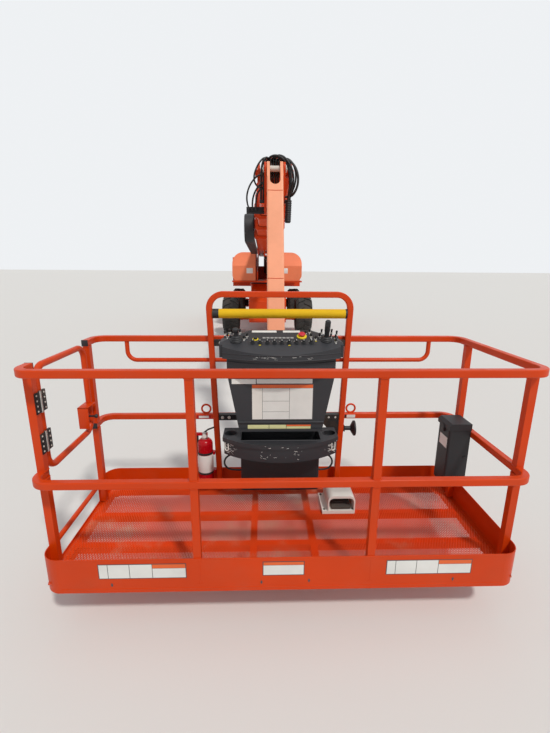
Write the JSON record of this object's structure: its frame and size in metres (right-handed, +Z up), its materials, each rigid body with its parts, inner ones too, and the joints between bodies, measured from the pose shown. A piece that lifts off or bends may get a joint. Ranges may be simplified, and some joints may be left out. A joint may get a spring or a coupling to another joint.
{
  "type": "telescopic boom lift",
  "caption": "Self-propelled telescopic boom lift with a railed platform on a jib, boom lowered, on rough-terrain wheels.",
  "frame": {"origin": "on the ground, at the middle of the machine's length and width", "axes": "+X across the machine, +Y from the platform to the tail along the boom, +Z up"},
  "size_m": [2.49, 13.8768, 3.0104],
  "materials": {
    "orange_paint": "satin",
    "dark_steel": "satin",
    "tyre": "matte",
    "rim_paint": "satin",
    "cast_iron": "rough",
    "hood_plastic": "satin",
    "black_plastic": "matte",
    "chrome_rod": "polished",
    "hose": "satin",
    "yellow_foam": "matte",
    "grey_plastic": "matte",
    "white_plastic": "matte",
    "red_paint": "gloss"
  },
  "bodies": {
    "chassis": {"chassis_frame": "orange_paint", "slew_ring": "dark_steel", "front_axle": "orange_paint", "rear_axle": "orange_paint"},
    "knuckle_front_left": {"knuckle_front_left": "dark_steel"},
    "wheel_front_left": {"tyre_front_left": "tyre", "rim_front_left": "rim_paint"},
    "knuckle_front_right": {"knuckle_front_right": "dark_steel"},
    "wheel_front_right": {"tyre_front_right": "tyre", "rim_front_right": "rim_paint"},
    "knuckle_rear_left": {"knuckle_rear_left": "dark_steel"},
    "wheel_rear_left": {"tyre_rear_left": "tyre", "rim_rear_left": "rim_paint"},
    "knuckle_rear_right": {"knuckle_rear_right": "dark_steel"},
    "wheel_rear_right": {"tyre_rear_right": "tyre", "rim_rear_right": "rim_paint"},
    "turntable": {"turntable_deck": "orange_paint", "boom_uprights": "orange_paint", "hood_bulkheads": "orange_paint", "counterweight": "orange_paint", "engine_block": "cast_iron"},
    "hood_left": {"hood_left": "hood_plastic"},
    "hood_right": {"hood_right": "hood_plastic"},
    "boom_base": {"boom_base": "orange_paint", "power_track": "black_plastic"},
    "boom_outer_mid": {"boom_outer_mid": "orange_paint"},
    "boom_inner_mid": {"boom_inner_mid": "orange_paint"},
    "boom_fly": {"boom_fly": "orange_paint"},
    "lift_barrel": {"lift_cylinder_barrel": "dark_steel"},
    "lift_rod": {"lift_cylinder_rod": "chrome_rod"},
    "nose": {"boom_nose": "orange_paint", "jib_hose_loop": "hose"},
    "jib": {"jib_arm": "orange_paint"},
    "jib_barrel": {"jib_cylinder_barrel": "dark_steel"},
    "jib_rod": {"jib_cylinder_rod": "chrome_rod"},
    "jib_link": {"jib_level_link": "orange_paint"},
    "platform_mount": {"platform_mount": "orange_paint"},
    "platform": {"platform_carrier": "orange_paint", "platform_floor_frame": "orange_paint", "platform_floor_mesh": "orange_paint", "kick_plate": "orange_paint", "top_rail": "orange_paint", "mid_rail": "orange_paint", "rail_posts": "orange_paint", "rear_hoop": "orange_paint", "centre_hoop": "orange_paint", "grab_bar": "yellow_foam", "console": "grey_plastic", "console_label_box": "grey_plastic", "console_tray": "grey_plastic", "console_lower_box": "black_plastic", "console_back": "dark_steel", "console_controls": "black_plastic", "foot_switch": "white_plastic", "extinguisher": "red_paint", "document_box": "black_plastic", "gate_hinges": "dark_steel", "console_cable_left": "hose", "console_cable_right": "hose"},
    "gate": {"gate": "orange_paint"}
  },
  "joints": [
    {"name": "steer_front_left", "type": "hinge", "parent": "chassis", "child": "knuckle_front_left", "pos_m": [-0.74, 2.59838, 0.53], "axis": [0, 0, 1], "range_deg": [-25, 25]},
    {"name": "wheel_front_left", "type": "hinge", "parent": "knuckle_front_left", "child": "wheel_front_left", "pos_m": [-1.025, 2.59838, 0.53], "axis": [1, 0, 0], "continuous": true},
    {"name": "steer_front_right", "type": "hinge", "parent": "chassis", "child": "knuckle_front_right", "pos_m": [0.74, 2.59838, 0.53], "axis": [0, 0, 1], "range_deg": [-25, 25]},
    {"name": "wheel_front_right", "type": "hinge", "parent": "knuckle_front_right", "child": "wheel_front_right", "pos_m": [1.025, 2.59838, 0.53], "axis": [1, 0, 0], "continuous": true},
    {"name": "steer_rear_left", "type": "hinge", "parent": "chassis", "child": "knuckle_rear_left", "pos_m": [-0.74, 6.40838, 0.53], "axis": [0, 0, 1], "range_deg": [-25, 25]},
    {"name": "wheel_rear_left", "type": "hinge", "parent": "knuckle_rear_left", "child": "wheel_rear_left", "pos_m": [-1.025, 6.40838, 0.53], "axis": [1, 0, 0], "continuous": true},
    {"name": "steer_rear_right", "type": "hinge", "parent": "chassis", "child": "knuckle_rear_right", "pos_m": [0.74, 6.40838, 0.53], "axis": [0, 0, 1], "range_deg": [-25, 25]},
    {"name": "wheel_rear_right", "type": "hinge", "parent": "knuckle_rear_right", "child": "wheel_rear_right", "pos_m": [1.025, 6.40838, 0.53], "axis": [1, 0, 0], "continuous": true},
    {"name": "swing", "type": "hinge", "parent": "chassis", "child": "turntable", "pos_m": [0, 4.50338, 1.4], "axis": [0, 0, 1], "continuous": true},
    {"name": "hood_left_lid", "type": "hinge", "parent": "turntable", "child": "hood_left", "pos_m": [-0.349, 4.50338, 2.298], "axis": [0, 1, 0], "range_deg": [0, 70]},
    {"name": "hood_right_lid", "type": "hinge", "parent": "turntable", "child": "hood_right", "pos_m": [0.349, 4.50338, 2.298], "axis": [0, -1, 0], "range_deg": [0, 70]},
    {"name": "boom_lift", "type": "hinge", "parent": "turntable", "child": "boom_base", "pos_m": [0, 5.95338, 2.48], "axis": [-1, 0, 0], "range_deg": [0, 73]},
    {"name": "boom_extend", "type": "slide", "parent": "boom_base", "child": "boom_outer_mid", "axis": [0, -0.9998, 0.0222], "range_m": [0, 5.05]},
    {"name": "boom_extend_inner", "type": "slide", "parent": "boom_outer_mid", "child": "boom_inner_mid", "axis": [0, -0.9998, 0.0222], "range_m": [0, 5.85]},
    {"name": "boom_extend_fly", "type": "slide", "parent": "boom_inner_mid", "child": "boom_fly", "axis": [0, -0.9998, 0.0222], "range_m": [0, 6.5]},
    {"name": "lift_barrel_pivot", "type": "hinge", "parent": "turntable", "child": "lift_barrel", "pos_m": [0, 5.25338, 1.7], "axis": [-1, 0, 0], "range_deg": [0, 70.56]},
    {"name": "lift_rod_slide", "type": "slide", "parent": "lift_barrel", "child": "lift_rod", "axis": [0, -0.9763, 0.2165], "range_m": [0, 1.24104]},
    {"name": "nose_level", "type": "hinge", "parent": "boom_fly", "child": "nose", "pos_m": [0, -4.48405, 2.71139], "axis": [1, 0, 0], "range_deg": [0, 73]},
    {"name": "jib_lift", "type": "hinge", "parent": "nose", "child": "jib", "pos_m": [0, -4.63405, 2.72139], "axis": [-1, 0, 0], "range_deg": [0, 105]},
    {"name": "jib_barrel_pivot", "type": "hinge", "parent": "nose", "child": "jib_barrel", "pos_m": [0, -4.43405, 2.39139], "axis": [-1, 0, 0], "range_deg": [0, 94.11]},
    {"name": "jib_rod_slide", "type": "slide", "parent": "jib_barrel", "child": "jib_rod", "axis": [0, -0.5459, -0.8378], "range_m": [0, 0.57333]},
    {"name": "jib_link_pivot", "type": "hinge", "parent": "nose", "child": "jib_link", "pos_m": [0, -4.57305, 2.51539], "axis": [-1, 0, 0], "range_deg": [0, 105]},
    {"name": "platform_level", "type": "hinge", "parent": "jib", "child": "platform_mount", "pos_m": [0, -5.43339, 0.80111], "axis": [1, 0, 0], "range_deg": [0, 105]},
    {"name": "platform_rotate", "type": "hinge", "parent": "platform_mount", "child": "platform", "pos_m": [0, -5.70338, 0.84111], "axis": [0, 0, 1], "range_deg": [-80, 80]},
    {"name": "gate_swing", "type": "hinge", "parent": "platform", "child": "gate", "pos_m": [-1.201, -6.75838, 0.93], "axis": [0, 0, -1], "range_deg": [0, 80]}
  ],
  "couplings": [
    {"joint": "steer_front_right", "follows": "steer_front_left", "ratio": 1},
    {"joint": "steer_rear_right", "follows": "steer_rear_left", "ratio": 1},
    {"joint": "boom_extend_inner", "follows": "boom_extend", "ratio": 1.1584},
    {"joint": "boom_extend_fly", "follows": "boom_extend", "ratio": 1.2871},
    {"joint": "lift_barrel_pivot", "follows": "boom_lift", "ratio": 0.96643},
    {"joint": "lift_rod_slide", "follows": "boom_lift", "m_per_rad": 0.97367},
    {"joint": "nose_level", "follows": "boom_lift", "ratio": 1},
    {"joint": "jib_barrel_pivot", "follows": "jib_lift", "ratio": 0.89616},
    {"joint": "jib_rod_slide", "follows": "jib_lift", "m_per_rad": 0.31258},
    {"joint": "jib_link_pivot", "follows": "jib_lift", "ratio": 1},
    {"joint": "platform_level", "follows": "jib_lift", "ratio": 1}
  ]
}
